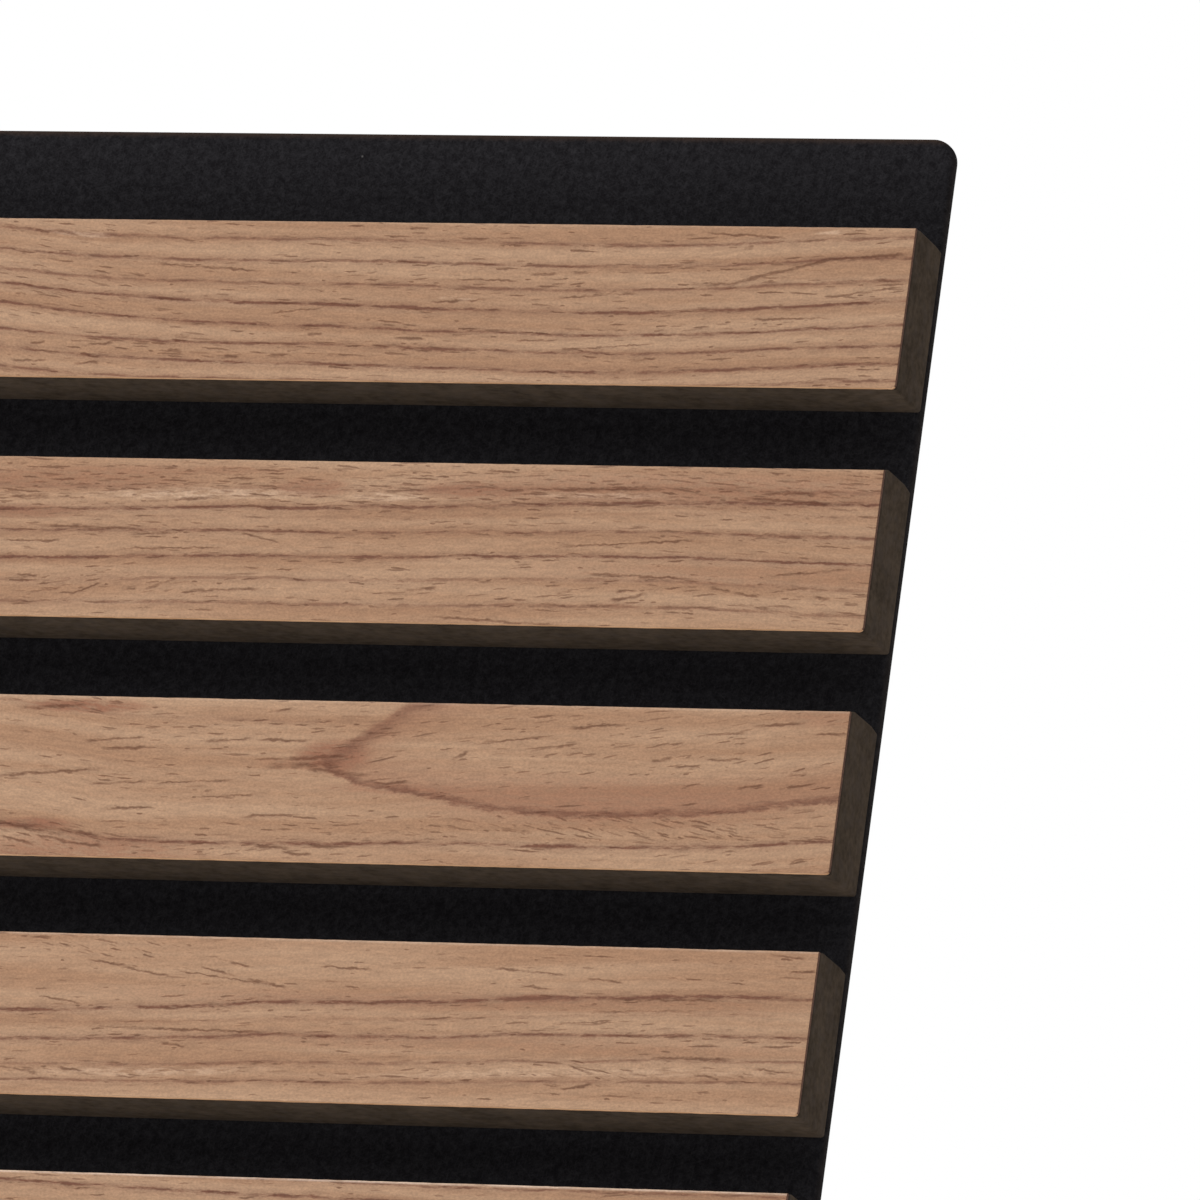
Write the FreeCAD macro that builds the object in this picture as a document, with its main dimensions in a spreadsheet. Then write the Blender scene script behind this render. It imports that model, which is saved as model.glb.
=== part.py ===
import FreeCAD, Part
import math
import os
import Sketcher

# Acoustic slat wall panel: veneered slats glued side by side to a sheet of felt.
# The panel hangs upright. X runs along the slats, the slats face -Y, Z is up, and
# the origin is the centre of the felt's back face, which lies against the wall.

doc = FreeCAD.newDocument("acoustic_slat_wall_panel")

# Driving dimensions, in millimetres, apart from the number of slats.
SIZES = [
    ("panel_length", 600, "along the slats, felt and slats alike"),
    ("slat_count", 14, "slats on one panel"),
    ("slat_pitch", 40, "from one slat's centre to the next"),
    ("slat_width", 27, "height of one slat's face"),
    ("core_thickness", 11.4, "dyed fibreboard behind the veneer"),
    ("veneer_thickness", 0.6, "sliced wood on the slat's face"),
    ("veneer_edge_bevel", 0.2, "sanded rim of the veneer"),
    ("slat_corner_radius", 0.5, "sanded corners of a slat, seen from the front"),
    ("edge_margin", 20, "bare felt beyond the outermost slats"),
    ("felt_thickness", 3, "the backing sheet"),
    ("felt_corner_radius", 4, "corners of the sheet, seen from the front"),
    ("felt_edge_rounding", 1.2, "soft rim of the sheet, front and back"),
]
sheet = doc.addObject("Spreadsheet::Sheet", "sizes")
for row, (name, value, note) in enumerate(SIZES, start=1):
    sheet.set(f"A{row}", name)
    sheet.set(f"B{row}", str(value))
    sheet.set(f"C{row}", note)
    sheet.setAlias(f"B{row}", name)
doc.recompute()

# A rim takes at most these shares of its plate's thickness: the felt has two rims, a veneer one.
MOST_ROUNDING = 0.45
MOST_BEVEL = 0.9


def rounded_rectangle(body, length, height, radius):
    """Draws a rectangle with round corners, centred on the body's upright XZ plane.

    length, height and radius are expressions on the sheet."""
    sketch = body.newObject("Sketcher::SketchObject", body.Name + "_outline")
    upright = [plane for plane in body.Origin.OriginFeatures if plane.Role == "XZ_Plane"][0]
    sketch.AttachmentSupport = [(upright, "")]
    sketch.MapMode = "FlatFace"

    # The outline runs clockwise from the top edge: four edges, then the corners between them.
    right = sheet.evalExpression(length) / 2
    top = sheet.evalExpression(height) / 2
    bend = sheet.evalExpression(radius)
    in_x = right - bend
    in_y = top - bend
    point = FreeCAD.Vector
    edges = [
        Part.LineSegment(point(-in_x, top, 0), point(in_x, top, 0)),
        Part.LineSegment(point(right, in_y, 0), point(right, -in_y, 0)),
        Part.LineSegment(point(in_x, -top, 0), point(-in_x, -top, 0)),
        Part.LineSegment(point(-right, -in_y, 0), point(-right, in_y, 0)),
    ]
    quarter = math.pi / 2
    centres = [(in_x, in_y, 0), (in_x, -in_y, 3), (-in_x, -in_y, 2), (-in_x, in_y, 1)]
    corners = [
        Part.ArcOfCircle(Part.Circle(point(x, y, 0), point(0, 0, 1), bend), turn * quarter, (turn + 1) * quarter)
        for x, y, turn in centres
    ]
    sketch.addGeometry(edges + corners, False)

    # A corner's arc starts on the edge after it and ends on the edge before it.
    for edge in range(4):
        corner = 4 + edge
        sketch.addConstraint(Sketcher.Constraint("Tangent", edge, 2, corner, 2))
        sketch.addConstraint(Sketcher.Constraint("Tangent", (edge + 1) % 4, 1, corner, 1))
    for edge, direction in enumerate(["Horizontal", "Vertical", "Horizontal", "Vertical"]):
        sketch.addConstraint(Sketcher.Constraint(direction, edge))
    for corner in (5, 6, 7):
        sketch.addConstraint(Sketcher.Constraint("Equal", 4, corner))
    sketch.addConstraint(Sketcher.Constraint("Symmetric", 4, 3, 6, 3, -1, 1))
    named = [
        ("length", length, Sketcher.Constraint("DistanceX", 3, 1, 1, 1, 2 * right)),
        ("height", height, Sketcher.Constraint("DistanceY", 2, 1, 0, 1, 2 * top)),
        ("radius", radius, Sketcher.Constraint("Radius", 4, bend)),
    ]
    for name, expression, constraint in named:
        sketch.renameConstraint(sketch.addConstraint(constraint), name)
        sketch.setExpression("Constraints." + name, expression)
    return sketch


def plate(label, length, height, radius, thickness):
    """Makes a flat piece with round corners, its back on the wall plane and its front to -Y."""
    body = doc.addObject("PartDesign::Body", label)
    body.Label = label
    sketch = rounded_rectangle(body, length, height, radius)
    pad = body.newObject("PartDesign::Pad", label + "_sheet")
    pad.Profile = sketch
    pad.setExpression("Length", thickness)
    doc.recompute()
    return body, pad


def finish_rim(body, pad, feature, dimension, levels, size):
    """Rounds or bevels the rims of a plate that lie at the given distances in front of its back.

    feature is Fillet or Chamfer, dimension its Radius or Size, and size an expression on the sheet."""
    rims = []
    for number, edge in enumerate(pad.Shape.Edges, start=1):
        box = edge.BoundBox
        if box.YLength < 1e-6 and any(abs(-box.YMin - level) < 1e-6 for level in levels):
            rims.append(f"Edge{number}")
    rim = body.newObject("PartDesign::" + feature, body.Name + "_rim")
    rim.Base = (pad, rims)
    rim.setExpression(dimension, size)
    doc.recompute()
    body.Tip = rim


# The felt: one sheet cut with round corners, its rim soft and rounded on both faces.
# The bare margins above and below the slats are alike.
felt, felt_sheet = plate(
    "felt_backing",
    "sizes.panel_length",
    "(sizes.slat_count - 1) * sizes.slat_pitch + sizes.slat_width + 2 * sizes.edge_margin",
    "sizes.felt_corner_radius",
    "sizes.felt_thickness",
)
finish_rim(
    felt,
    felt_sheet,
    "Fillet",
    "Radius",
    [0, sheet.felt_thickness],
    f"min(sizes.felt_edge_rounding; {MOST_ROUNDING} * sizes.felt_thickness)",
)

# The slats, from the top one down: a core glued to the felt, and a veneer on its face.
# Both have the same outline, flush with the felt's two ends.
for number in range(1, int(sheet.slat_count) + 1):
    height = f"((sizes.slat_count + 1) / 2 - {number}) * sizes.slat_pitch"

    core, core_bar = plate(
        f"slat_core_{number:02d}",
        "sizes.panel_length",
        "sizes.slat_width",
        "sizes.slat_corner_radius",
        "sizes.core_thickness",
    )
    core.setExpression("Placement.Base.y", "-sizes.felt_thickness")
    core.setExpression("Placement.Base.z", height)

    veneer, veneer_leaf = plate(
        f"slat_veneer_{number:02d}",
        "sizes.panel_length",
        "sizes.slat_width",
        "sizes.slat_corner_radius",
        "sizes.veneer_thickness",
    )
    finish_rim(
        veneer,
        veneer_leaf,
        "Chamfer",
        "Size",
        [sheet.veneer_thickness],
        f"min(sizes.veneer_edge_bevel; {MOST_BEVEL} * sizes.veneer_thickness)",
    )
    veneer.setExpression("Placement.Base.y", "-sizes.felt_thickness - sizes.core_thickness")
    veneer.setExpression("Placement.Base.z", height)

doc.recompute()

# Every object is checked before anything is written.
bodies = [item for item in doc.Objects if item.TypeId == "PartDesign::Body"]
for item in doc.Objects:
    if "Invalid" in item.State or "Error" in item.State:
        raise RuntimeError(f"{item.Label} failed: {item.State}")
for body in bodies:
    if body.Shape.isNull() or not body.Shape.isValid() or len(body.Shape.Solids) != 1:
        raise RuntimeError(f"{body.Label} is not one valid solid")

os.makedirs("parts", exist_ok=True)
for body in bodies:
    body.Shape.exportStep(os.path.join("parts", body.Label + ".step"))
    box = body.Shape.optimalBoundingBox()
    print(f"{body.Label}: {box.XLength:.2f} x {box.YLength:.2f} x {box.ZLength:.2f} mm, {body.Shape.Volume / 1000:.2f} cm3")
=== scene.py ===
import math
import random
import bmesh
import bpy
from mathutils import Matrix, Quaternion, Vector, noise


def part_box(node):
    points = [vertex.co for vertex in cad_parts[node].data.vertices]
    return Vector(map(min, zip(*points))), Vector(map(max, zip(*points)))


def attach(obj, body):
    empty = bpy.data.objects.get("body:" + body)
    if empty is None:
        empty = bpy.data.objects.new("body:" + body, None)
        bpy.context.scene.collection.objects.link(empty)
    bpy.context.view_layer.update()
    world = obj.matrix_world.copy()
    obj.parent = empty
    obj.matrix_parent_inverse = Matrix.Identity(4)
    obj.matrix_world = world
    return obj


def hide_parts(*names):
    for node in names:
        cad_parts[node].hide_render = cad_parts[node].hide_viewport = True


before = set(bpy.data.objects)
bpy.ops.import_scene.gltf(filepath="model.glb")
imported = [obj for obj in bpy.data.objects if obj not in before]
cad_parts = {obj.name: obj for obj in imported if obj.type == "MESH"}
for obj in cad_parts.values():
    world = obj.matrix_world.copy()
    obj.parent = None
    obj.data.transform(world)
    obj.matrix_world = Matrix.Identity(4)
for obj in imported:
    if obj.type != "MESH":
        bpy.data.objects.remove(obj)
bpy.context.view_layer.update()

# The felt backing: one sheet of dark grey needle felt, pressed from short loose fibres.
# It is cut with round corners and ends a hair short at the right. Its rim is soft and rounded, and
# the slats are glued to its front.
felt_low, felt_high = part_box("felt_backing")
felt_corner = 0.004
felt_rim = 0.0012
felt_setback = 0.0003

# An edge that bends by more than the sharp bend is a rim, and below the smooth one it is shaded round.
near = 0.000001
sharp_bend = 1.0
smooth_bend = 0.8


def block(low, high):
    """A bmesh box between two corners."""
    mesh = bmesh.new()
    bmesh.ops.create_cube(mesh, size=1)
    bmesh.ops.scale(mesh, vec=high - low, verts=mesh.verts)
    bmesh.ops.translate(mesh, vec=(low + high) / 2, verts=mesh.verts)
    return mesh


def edges_along(mesh, axis):
    """The box edges that run along one axis, 0 for X, 1 for Y and 2 for Z."""
    found = []
    for edge in mesh.edges:
        run = edge.verts[1].co - edge.verts[0].co
        if abs(run[axis]) > 0.99 * run.length:
            found.append(edge)
    return found


def rim_edges(mesh, level):
    """The sharp edges that lie flat at one distance from the wall."""
    found = []
    for edge in mesh.edges:
        flat = all(abs(vert.co.y - level) < near for vert in edge.verts)
        if flat and len(edge.link_faces) == 2 and edge.calc_face_angle() > sharp_bend:
            found.append(edge)
    return found


def round_off(mesh, edges, radius, segments):
    """Rounds edges over."""
    bmesh.ops.bevel(
        mesh,
        geom=edges,
        offset=radius,
        offset_type="OFFSET",
        affect="EDGES",
        segments=segments,
        profile=0.5,
        material=-1,
    )


def finish_piece(mesh, name, nodes, materials):
    """Makes the object of a finished mesh, smooth over its rounded edges and flat between them."""
    data = bpy.data.meshes.new(name)
    for face in mesh.faces:
        face.smooth = True
    for edge in mesh.edges:
        edge.smooth = edge.calc_face_angle(0) < smooth_bend
    mesh.to_mesh(data)
    mesh.free()
    piece = bpy.data.objects.new(name, data)
    bpy.context.scene.collection.objects.link(piece)
    for material in materials:
        data.materials.append(material)
    shading = piece.modifiers.new("flat faces stay flat", "WEIGHTED_NORMAL")
    shading.keep_sharp = True
    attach(piece, "root")
    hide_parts(*nodes)
    return piece


def add(tree, kind, inputs=(), **settings):
    """A shader node. inputs holds pairs of a socket's name or number and its value or source."""
    made = tree.nodes.new(kind)
    for name, value in settings.items():
        setattr(made, name, value)
    for key, value in inputs:
        if isinstance(value, bpy.types.NodeSocket):
            tree.links.new(value, made.inputs[key])
        else:
            made.inputs[key].default_value = value
    return made


def calc(tree, operation, first, second=0.0, third=0.0):
    """The result of one sum on two or three numbers."""
    pairs = [(0, first), (1, second), (2, third)]
    return add(tree, "ShaderNodeMath", pairs, operation=operation).outputs[0]


def fade(tree, value, start, end, low=0.0, high=1.0):
    """A number that goes smoothly from low to high as value goes from start to end."""
    pairs = [("Value", value), ("From Min", start), ("From Max", end), ("To Min", low), ("To Max", high)]
    return add(tree, "ShaderNodeMapRange", pairs, interpolation_type="SMOOTHSTEP").outputs[0]


def blend(tree, amount, first, second):
    """The colour between two, by amount."""
    made = add(tree, "ShaderNodeMix", data_type="RGBA")
    colours = {"A": first, "B": second}
    for socket in made.inputs:
        if socket.identifier == "Factor_Float":
            source = amount
        elif socket.type == "RGBA":
            source = colours[socket.name]
        else:
            continue
        if isinstance(source, bpy.types.NodeSocket):
            tree.links.new(source, socket)
        else:
            socket.default_value = source
    return [socket for socket in made.outputs if socket.type == "RGBA"][0]


def noise_at(tree, place, scale, detail=2.0, roughness=0.5, spread=(1, 1, 1), shift=(0, 0, 0)):
    """Even noise from 0 to 1 at a place, stretched by a scale for each axis."""
    moved = add(tree, "ShaderNodeMapping", [("Vector", place), ("Location", shift), ("Scale", spread)])
    pairs = [("Vector", moved.outputs[0]), ("Scale", scale), ("Detail", detail), ("Roughness", roughness)]
    return add(tree, "ShaderNodeTexNoise", pairs, noise_dimensions="3D").outputs["Fac"]


def paint(red, green, blue):
    """A colour of a swatch, given in the usual 0 to 255, as the renderer takes it."""
    channels = []
    for value in (red, green, blue):
        share = value / 255
        channels.append(share / 12.92 if share <= 0.04045 else ((share + 0.055) / 1.055) ** 2.4)
    return (*channels, 1.0)


def new_material(name):
    """A material with its tree, its Principled BSDF and the piece's own coordinates in millimetres."""
    material = bpy.data.materials.new(name)
    material.use_nodes = True
    tree = material.node_tree
    shader = tree.nodes["Principled BSDF"]
    place = add(tree, "ShaderNodeTexCoord").outputs["Object"]
    millimetres = add(tree, "ShaderNodeVectorMath", [(0, place), ("Scale", 1000.0)], operation="SCALE")
    return material, tree, shader, millimetres.outputs[0]


def dull(shader, roughness, shine):
    """Sets how rough a surface is and how much it shines."""
    shader.inputs["Roughness"].default_value = roughness
    shader.inputs["Specular IOR Level"].default_value = shine


def emboss(tree, shader, height, strength, distance):
    """Lets a height show as relief, so many metres deep."""
    pairs = [("Height", height), ("Strength", strength), ("Distance", distance)]
    relief = add(tree, "ShaderNodeBump", pairs)
    tree.links.new(relief.outputs[0], shader.inputs["Normal"])


def felt_finish():
    """Needle felt: matted short fibres, darker hollows, a brownish painted highlight on its rim and a few
    flecks of lint.
    """
    material, tree, shader, place = new_material("dark grey felt")
    hollow_grey = paint(21, 20, 23)
    fibre_grey = paint(48, 47, 50)
    lint_grey = paint(120, 118, 116)
    # Lighter browns for the painted highlight on the rim, along the long sides and at the ends.
    side_rim_highlight = paint(67, 50, 39)
    end_rim_highlight = paint(60, 51, 45)
    fray = 1.4

    # Fibres cross at every angle, so three sets of stretched noise are laid over each other.
    fibres = None
    for turn in (0.3, 1.4, 2.5):
        pairs = [("Vector", place), ("Angle", turn)]
        turned = add(tree, "ShaderNodeVectorRotate", pairs, rotation_type="Y_AXIS")
        strands = noise_at(tree, turned.outputs[0], 1.0, 3.0, 0.6, (0.55, 1.0, 3.4))
        fibres = strands if fibres is None else calc(tree, "MAXIMUM", fibres, strands)
    matting = noise_at(tree, place, 0.7, 4.0, 0.7)
    fuzz = noise_at(tree, place, 3.5, 2.0, 0.6)
    depth = calc(tree, "ADD", calc(tree, "MULTIPLY", fibres, 0.6), calc(tree, "MULTIPLY", matting, 0.5))
    depth = calc(tree, "MULTIPLY_ADD", fuzz, 0.3, depth)

    shade = fade(tree, depth, 0.58, 0.98)
    colour = blend(tree, shade, hollow_grey, fibre_grey)

    # A lighter brown painted highlight lies on the rounded rim, frayed by the matting and stronger on the
    # long sides than at the ends.
    parts = add(tree, "ShaderNodeSeparateXYZ", [(0, place)]).outputs
    rim_highlights = [("Z", felt_high.z, 0.9, 0.75, side_rim_highlight), ("X", felt_high.x, 0.4, 0.3, end_rim_highlight)]
    for axis, edge, reach, strength, brown in rim_highlights:
        inward = calc(tree, "SUBTRACT", edge * 1000, calc(tree, "ABSOLUTE", parts[axis]))
        frayed = calc(tree, "MULTIPLY_ADD", matting, -fray, inward)
        colour = blend(tree, fade(tree, frayed, reach, -0.9, 0.0, strength), colour, brown)

    # Flecks of pale lint cling to it here and there.
    lint = add(tree, "ShaderNodeTexVoronoi", [("Vector", place), ("Scale", 0.16)]).outputs
    rare = calc(tree, "GREATER_THAN", noise_at(tree, place, 0.11, 1.0), 0.6)
    fleck = calc(tree, "MULTIPLY", fade(tree, lint["Distance"], 0.045, 0.02), rare)
    colour = blend(tree, calc(tree, "MULTIPLY", fleck, 0.5), colour, lint_grey)
    tree.links.new(colour, shader.inputs["Base Color"])

    dull(shader, 0.95, 0.03)
    shader.inputs["Sheen Weight"].default_value = 0.03
    shader.inputs["Sheen Roughness"].default_value = 0.6
    shader.inputs["Sheen Tint"].default_value = (1.0, 0.86, 0.74, 1.0)
    emboss(tree, shader, depth, 0.8, 0.00035)
    return material


felt_mesh = block(felt_low, felt_high - Vector((felt_setback, 0, 0)))
round_off(felt_mesh, edges_along(felt_mesh, 1), felt_corner, 10)
round_off(felt_mesh, rim_edges(felt_mesh, felt_low.y), felt_rim, 5)
round_off(felt_mesh, rim_edges(felt_mesh, felt_high.y), felt_rim, 5)
finish_piece(felt_mesh, "felt_sheet", ["felt_backing"], [felt_finish()])

# The slat cores: bars of fibreboard, dyed dark brown all through and sawn to width.
# Each is glued to the felt by its back, a hair off its level, and its sides and ends are left bare.
# The right ends were sawn a little short and out of square, and have swollen at their top.
slat_count = len([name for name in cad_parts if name.startswith("slat_core")])
slat_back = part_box("slat_core_01")[1].y
core_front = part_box("slat_core_01")[0].y
slat_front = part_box("slat_veneer_01")[0].y
slat_corner = 0.0005
core_arris = 0.0002
swell_length = 0.008
swell_risen = 0.0019
swell_falling = 0.0089
swell_left = 0.4
corner_slack = 0.00001

# The marks of the upper four slats are given one by one, and those of the others drawn by chance.
most_setback = 0.0004
usual_lean = 0.0003
usual_swell = 0.0005
most_drift = 0.0003
end_setbacks = [0.0002, 0.0001, 0.0003, 0.0003]
end_leans = [0.0002, 0.0003, 0.0004, 0.0003]
end_swells = [0.0004, 0.0008, 0.0007, 0.0005]
height_drifts = [0.0005, -0.0001, -0.0004, -0.0002]
chance = random.Random(27)
while len(end_setbacks) < slat_count:
    end_setbacks.append(round(chance.uniform(0, most_setback), 5))
    end_leans.append(usual_lean)
    end_swells.append(usual_swell)
    height_drifts.append(round(chance.uniform(-most_drift, most_drift), 5))


def slat_box(node, number):
    """The low and high corner of a slat's piece as it was glued: off its level, and short at the right."""
    low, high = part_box(node)
    drift = Vector((0, 0, height_drifts[number - 1]))
    return low + drift, high + drift - Vector((end_setbacks[number - 1], 0, 0))


def lean_end(mesh, number):
    """Saws the right end a little out of square: the slat's face ends before its back does."""
    for vert in mesh.verts:
        if vert.co.x > 0:
            forward = (vert.co.y - slat_back) / (slat_front - slat_back)
            vert.co.x -= end_leans[number - 1] * forward


def swell_end(mesh, number, top):
    """Swells the top of a bar's right end, where the sawn fibreboard has opened a little.

    The swelling rises behind the veneer, stays level, and falls to a share of it at the felt."""
    start = felt_high.x - swell_length
    cuts = [
        ((start, 0, 0), (1, 0, 0)),
        ((0, core_front + swell_risen, 0), (0, 1, 0)),
        ((0, core_front + swell_falling, 0), (0, 1, 0)),
    ]
    for point, facing in cuts:
        whole = list(mesh.verts) + list(mesh.edges) + list(mesh.faces)
        bmesh.ops.bisect_plane(mesh, geom=whole, plane_co=point, plane_no=facing)
    fall = (1.0 - swell_left) / (slat_back - core_front - swell_falling)
    for vert in mesh.verts:
        if vert.co.x > start + slat_corner and vert.co.z > top - slat_corner - corner_slack:
            depth = vert.co.y - core_front
            share = min(depth / swell_risen, 1.0, 1.0 - fall * (depth - swell_falling))
            vert.co.z += end_swells[number - 1] * share


def core_finish():
    """Dyed fibreboard: fine matted wood fibre, a little lighter where the saw raised it."""
    material, tree, shader, place = new_material("dyed fibreboard")
    dyed_dark = paint(64, 54, 44)
    dyed_light = paint(95, 81, 68)
    sawn_grey = paint(86, 76, 70)
    glue_dark = paint(40, 33, 29)
    glue_reach = 0.8

    fibres = noise_at(tree, place, 0.9, 5.0, 0.65, (0.6, 1.0, 1.0))
    clouds = noise_at(tree, place, 0.16, 3.0, 0.55, shift=(40, 0, 9))
    scores = noise_at(tree, place, 1.0, 2.0, 0.6, (0.03, 3.0, 0.4))
    tone = calc(tree, "MULTIPLY_ADD", fibres, 0.5, calc(tree, "MULTIPLY", clouds, 0.3))
    tone = calc(tree, "MULTIPLY_ADD", scores, 0.1, tone)
    colour = blend(tree, fade(tree, tone, 0.28, 0.62), dyed_dark, dyed_light)
    tint = noise_at(tree, place, 0.5, 2.0, 0.5, shift=(7, 3, 0))
    colour = blend(tree, fade(tree, tint, 0.4, 0.7, 0.0, 0.35), colour, sawn_grey)

    # The board darkens toward the glue line under its veneer.
    front = core_front * 1000
    depth = add(tree, "ShaderNodeSeparateXYZ", [(0, place)]).outputs["Y"]
    glue = fade(tree, depth, front + glue_reach, front, 0.0, 0.5)
    colour = blend(tree, glue, colour, glue_dark)
    tree.links.new(colour, shader.inputs["Base Color"])
    dull(shader, 0.9, 0.05)
    emboss(tree, shader, tone, 0.5, 0.0001)
    return material


fibreboard = core_finish()
for number in range(1, slat_count + 1):
    low, high = slat_box(f"slat_core_{number:02d}", number)
    core_mesh = block(low, high)
    round_off(core_mesh, edges_along(core_mesh, 1), slat_corner, 4)
    round_off(core_mesh, rim_edges(core_mesh, high.y), core_arris, 2)
    swell_end(core_mesh, number, high.z)
    lean_end(core_mesh, number)
    finish_piece(core_mesh, f"slat_bar_{number:02d}", [f"slat_core_{number:02d}"], [fibreboard])

# The veneers: leaves of light brown wood sliced 0.6 mm thick, one glued to the face of each core.
# Growth lines, short dark pores and the odd cathedral differ from leaf to leaf. The long cut edges
# are pale and a little ragged, and the face has a pale painted highlight along its upper edge.
leaf_corner = 0.0008
leaf_cuts = 399
veneer_rim = 0.00015
veneer_raggedness = 0.00009
ragged_rate = 900
ragged_shift = 3.1
edge_band = 0.0001
mostly_facing = 0.75

# A leaf's figure is drawn in millimetres, from the right end of its face.
slat_length = round((felt_high.x - felt_low.x) * 1000, 1)
face_setback = 0.4
face_end = slat_length / 2 - face_setback
line_reach = 150.0
line_overshoot = 1.1
sweep_span = 10.0
cathedral_span = 30.0
seed_step = 13.7
pale_wood = paint(181, 145, 116)
warm_wood = paint(167, 128, 99)
line_wood = paint(118, 78, 60)
heart_wood = paint(150, 104, 80)
pore_wood = paint(92, 56, 41)
# The colour of the pale painted highlights on the faces.
pale_highlight_wood = paint(200, 168, 142)
# The painted highlight along each face's upper edge: its colour, its strength by leaf, and the heights
# where it starts and is full.
edge_highlight_wood = paint(226, 200, 180)
pore_strength = 0.73
edge_highlights = {1: 0.1, 2: 0.1, 3: 0.2, 4: 0.3, 5: 0.7}
usual_edge_highlight = 0.3
edge_highlight_start = 12.95
edge_highlight_full = 13.4


def new_group(name, inputs, outputs):
    """An empty shader group with named number sockets."""
    tree = bpy.data.node_groups.new(name, "ShaderNodeTree")
    for label, default in inputs:
        socket = tree.interface.new_socket(label, in_out="INPUT", socket_type="NodeSocketFloat")
        socket.default_value = default
    for label in outputs:
        tree.interface.new_socket(label, in_out="OUTPUT", socket_type="NodeSocketFloat")
    given = tree.nodes.new("NodeGroupInput").outputs
    result = tree.nodes.new("NodeGroupOutput").inputs
    return tree, given, result


def use_group(tree, group, inputs):
    """Places a group in a material and gives its outputs."""
    return add(tree, "ShaderNodeGroup", inputs, node_tree=group).outputs


def leaf_place(tree, along, across, seed, along_rate, across_rate):
    """A flat texture place on the leaf, so many turns a millimetre along and across the grain."""
    moved = calc(tree, "MULTIPLY_ADD", along, along_rate, seed)
    raised = calc(tree, "MULTIPLY_ADD", across, across_rate, seed)
    return add(tree, "ShaderNodeCombineXYZ", [(0, moved), (1, raised)]).outputs[0]


def grain_noise(tree, along, across, seed, rates, detail=1.0, roughness=0.5):
    """Flat noise from 0 to 1, stretched along the grain."""
    place = leaf_place(tree, along, across, seed, *rates)
    pairs = [("Vector", place), ("Scale", 1.0), ("Detail", detail), ("Roughness", roughness)]
    return add(tree, "ShaderNodeTexNoise", pairs, noise_dimensions="2D").outputs["Fac"]


def wander_group():
    """How far the grain strays from straight: long waves, short waves and the fibres' own shake."""
    inputs = [("Along", 0.0), ("Across", 0.0), ("Seed", 0.0), ("Waviness", 1.0)]
    tree, given, result = new_group("grain wander", inputs, ["Across"])
    strayed = given["Across"]
    waves = [(0.8, (0.016, 0.06)), (0.7, (0.1, 0.3)), (0.36, (0.5, 1.1)), (0.2, (1.4, 2.0))]
    for reach, rates in waves:
        wave = grain_noise(tree, given["Along"], given["Across"], given["Seed"], rates)
        wave = calc(tree, "MULTIPLY", calc(tree, "SUBTRACT", wave, 0.5), 2 * reach)
        strayed = calc(tree, "MULTIPLY_ADD", wave, given["Waviness"], strayed)
    tree.links.new(strayed, result["Across"])
    return tree


def line_group():
    """One growth line: a thin dark core in a faint wider shade. Its height drifts as Share goes to 1."""
    inputs = [("Across", 0.0), ("Share", 0.0), ("Level", 0.0), ("Slope", 0.0), ("Bend", 0.0)]
    inputs += [("Width", 0.5), ("Strength", 0.5)]
    tree, given, result = new_group("growth line", inputs, ["Dark"])
    drift = calc(tree, "MULTIPLY_ADD", given["Share"], given["Bend"], given["Slope"])
    level = calc(tree, "MULTIPLY_ADD", given["Share"], drift, given["Level"])
    gap = calc(tree, "ABSOLUTE", calc(tree, "SUBTRACT", given["Across"], level))
    gap = calc(tree, "DIVIDE", gap, given["Width"])
    core = calc(tree, "MULTIPLY", fade(tree, gap, 0.85, 0.1), 0.68)
    dark = calc(tree, "MULTIPLY_ADD", fade(tree, gap, 3.0, 0.2), 0.32, core)
    tree.links.new(calc(tree, "MULTIPLY", dark, given["Strength"]), result["Dark"])
    return tree


def stray_group():
    """A short dark stroke along or across the grain, such as a long pore or a check."""
    inputs = [("Along", 0.0), ("Across", 0.0), ("Start", 0.0), ("End", 1.0), ("Height", 0.0)]
    inputs += [("Rise", 0.0), ("Width", 0.2)]
    tree, given, result = new_group("stray line", inputs, ["Dark"])
    length = calc(tree, "SUBTRACT", given["End"], given["Start"])
    share = calc(tree, "DIVIDE", calc(tree, "SUBTRACT", given["Along"], given["Start"]), length)
    path = calc(tree, "MULTIPLY_ADD", share, given["Rise"], given["Height"])
    gap = calc(tree, "ABSOLUTE", calc(tree, "SUBTRACT", given["Across"], path))
    gap = calc(tree, "DIVIDE", gap, given["Width"])
    ends = calc(tree, "MULTIPLY", fade(tree, share, 0.0, 0.2), fade(tree, share, 1.0, 0.8))
    tree.links.new(calc(tree, "MULTIPLY", fade(tree, gap, 0.8, 0.15), ends), result["Dark"])
    return tree


def blush_group():
    """A soft oval stain in the wood, strongest in its middle."""
    inputs = [("Along", 0.0), ("Across", 0.0), ("Middle", 0.0), ("Height", 0.0)]
    inputs += [("Reach", 10.0), ("Rise", 2.0)]
    tree, given, result = new_group("soft stain", inputs, ["Stain"])
    east = calc(tree, "DIVIDE", calc(tree, "SUBTRACT", given["Along"], given["Middle"]), given["Reach"])
    north = calc(tree, "DIVIDE", calc(tree, "SUBTRACT", given["Across"], given["Height"]), given["Rise"])
    spread = calc(tree, "MULTIPLY_ADD", east, east, calc(tree, "MULTIPLY", north, north))
    tree.links.new(fade(tree, spread, 1.0, 0.0), result["Stain"])
    return tree


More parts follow.
